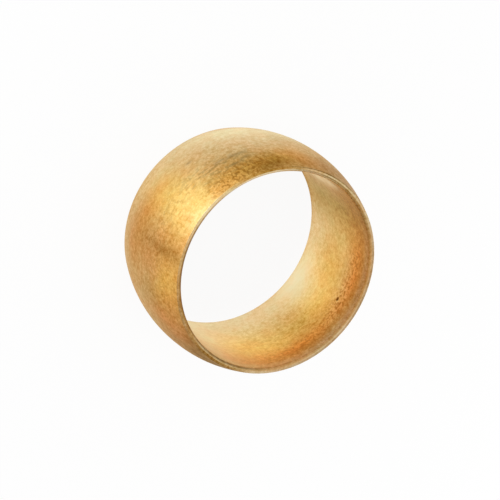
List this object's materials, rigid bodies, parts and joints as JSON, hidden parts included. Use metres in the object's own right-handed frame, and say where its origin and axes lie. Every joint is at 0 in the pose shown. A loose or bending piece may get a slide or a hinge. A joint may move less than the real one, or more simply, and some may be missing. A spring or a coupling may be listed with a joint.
{
  "type": "compression olive",
  "caption": "Brass compression olive: a plain-bored ring with a barrel-shaped outside, squeezed onto a tube between a fitting and its nut to seal the joint.",
  "frame": {"origin": "on the bore's axis, at the lower end face that the ring stands on", "axes": "+Z along the bore's axis, up from the end that it stands on; X and Y lie in the lower end face and are alike"},
  "size_m": [0.0174, 0.0174, 0.0095],
  "materials": {
    "brass": "satin turned brass, slightly tarnished"
  },
  "bodies": {
    "root": {"olive": "brass"}
  },
  "joints": []
}
